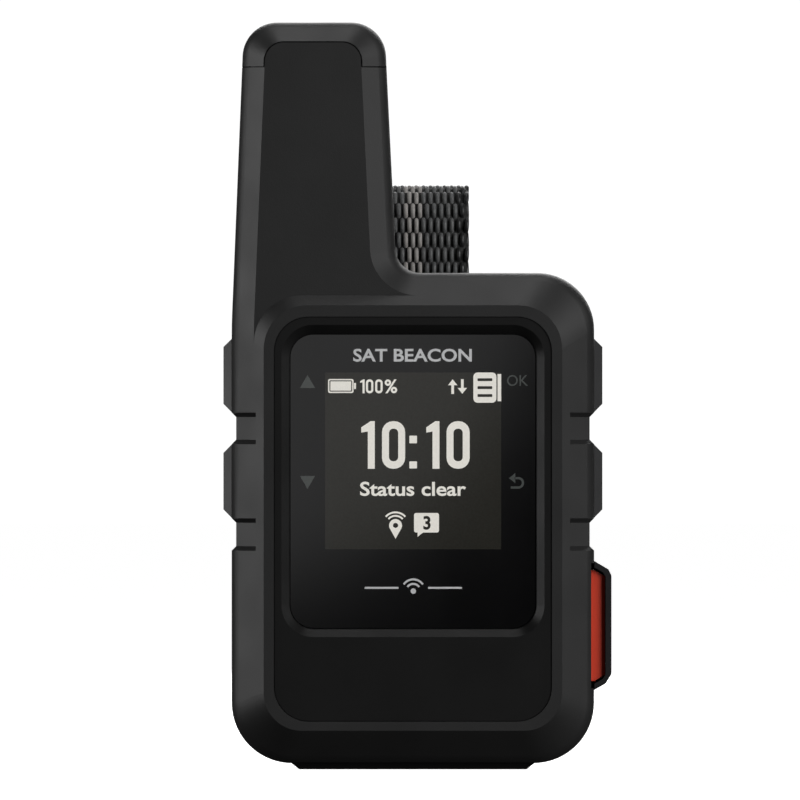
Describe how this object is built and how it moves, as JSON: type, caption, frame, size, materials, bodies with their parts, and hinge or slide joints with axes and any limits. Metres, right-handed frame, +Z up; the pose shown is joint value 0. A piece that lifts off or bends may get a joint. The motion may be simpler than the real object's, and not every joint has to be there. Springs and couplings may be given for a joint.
{
  "type": "handheld satellite beacon",
  "caption": "Pocket satellite beacon with a stub antenna, side keys, a covered SOS key, a webbing loop and a carabiner.",
  "frame": {"origin": "centre of the foot's underside", "axes": "+Z up the antenna, front (display) faces -Y, +X to the right seen from the front"},
  "size_m": [0.0514, 0.0358, 0.099],
  "materials": {
    "jacket": "moulded matte elastomer",
    "cover_plastic": "moulded, fine texture",
    "case_plastic": "moulded, fine texture",
    "adapter_plastic": "moulded",
    "sos_red": "moulded",
    "lens": "polished, black printed behind",
    "steel": "turned and drawn",
    "tinplate": "tinned sheet",
    "brass": "turned",
    "carabiner_alloy": "anodised dark grey",
    "webbing": "woven",
    "seal_rubber": "moulded",
    "foam": "closed cell",
    "display": "laminated glass and film",
    "circuit": "solder mask",
    "component_black": "moulded",
    "patch_ceramic": "fired",
    "battery_wrap": "shrink film",
    "former_plastic": "moulded",
    "copper": "plated copper"
  },
  "bodies": {
    "case": {"sos_hinge_pin": "steel", "usb_port": "steel", "usb_board": "circuit", "base_foot": "case_plastic", "rubber_jacket": "jacket", "antenna_cap": "jacket", "case_seal": "seal_rubber", "front_case": "case_plastic", "rear_case": "case_plastic", "mount_insert": "brass", "case_screws": "steel", "lens_glass": "lens", "lens_adhesive": "foam", "display_module": "display", "display_backlight": "display", "display_flex": "circuit", "main_board": "circuit", "modem_shield": "tinplate", "rf_shield": "tinplate", "sounder": "component_black", "gps_antenna": "patch_ceramic", "power_switch": "component_black", "sos_switch": "component_black", "left_key_board": "circuit", "right_key_board": "circuit", "key_switches": "component_black", "battery_cell": "battery_wrap", "battery_pad": "foam", "antenna_former": "former_plastic", "antenna_helix": "copper", "antenna_feed": "circuit", "spine_adapter": "adapter_plastic", "strap": "webbing"},
    "up_key": {"up_button": "jacket"},
    "down_key": {"down_button": "jacket"},
    "ok_key": {"ok_button": "jacket"},
    "back_key": {"back_button": "jacket"},
    "power_key": {"power_button": "jacket"},
    "sos_key": {"sos_button": "sos_red"},
    "sos_cover": {"sos_cap": "cover_plastic"},
    "usb_cover": {"usb_cap": "jacket"},
    "thumb_screw": {"thumb_screw": "steel"},
    "fold_ring": {"screw_ring": "steel"},
    "carabiner": {"carabiner_frame": "carabiner_alloy", "gate_pin": "steel"},
    "gate": {"carabiner_gate": "carabiner_alloy"}
  },
  "joints": [
    {"name": "up_press", "type": "slide", "parent": "case", "child": "up_key", "axis": [1, 0, 0], "range_m": [0, 0.0005], "stiffness_N_per_m": 400, "springref_m": -0.00025},
    {"name": "down_press", "type": "slide", "parent": "case", "child": "down_key", "axis": [1, 0, 0], "range_m": [0, 0.0005], "stiffness_N_per_m": 400, "springref_m": -0.00025},
    {"name": "ok_press", "type": "slide", "parent": "case", "child": "ok_key", "axis": [-1, 0, 0], "range_m": [0, 0.0005], "stiffness_N_per_m": 400, "springref_m": -0.00025},
    {"name": "back_press", "type": "slide", "parent": "case", "child": "back_key", "axis": [-1, 0, 0], "range_m": [0, 0.0005], "stiffness_N_per_m": 400, "springref_m": -0.00025},
    {"name": "power_press", "type": "slide", "parent": "case", "child": "power_key", "axis": [0, 0, -1], "range_m": [0, 0.00045], "stiffness_N_per_m": 400, "springref_m": -0.00022},
    {"name": "sos_press", "type": "slide", "parent": "case", "child": "sos_key", "axis": [-1, 0, 0], "range_m": [0, 0.0006], "stiffness_N_per_m": 400, "springref_m": -0.0003},
    {"name": "sos_cover_hinge", "type": "hinge", "parent": "case", "child": "sos_cover", "pos_m": [0.02525, 0.0069, 0.01905], "axis": [0, 0, 1], "range_deg": [0, 115]},
    {"name": "usb_cover_hinge", "type": "hinge", "parent": "case", "child": "usb_cover", "pos_m": [-0.02369, 0.00478, 0.0205], "axis": [0, 0, -1], "range_deg": [0, 85]},
    {"name": "thumb_screw_turn", "type": "hinge", "parent": "case", "child": "thumb_screw", "pos_m": [0, 0.0157, 0.024], "axis": [0, 1, 0], "continuous": true},
    {"name": "ring_fold", "type": "hinge", "parent": "thumb_screw", "child": "fold_ring", "pos_m": [0, 0.0201, 0.024], "axis": [1, 0, 0], "range_deg": [0, 180]},
    {"name": "carabiner_swing", "type": "hinge", "parent": "case", "child": "carabiner", "pos_m": [0, 0.0189, 0.0596], "axis": [1, 0, 0], "range_deg": [0, 120]},
    {"name": "gate_open", "type": "hinge", "parent": "carabiner", "child": "gate", "pos_m": [0.011, 0.0189, 0.033], "axis": [0, -1, 0], "range_deg": [0, 22], "stiffness_Nm_per_rad": 0.02, "springref_deg": -20.05}
  ]
}
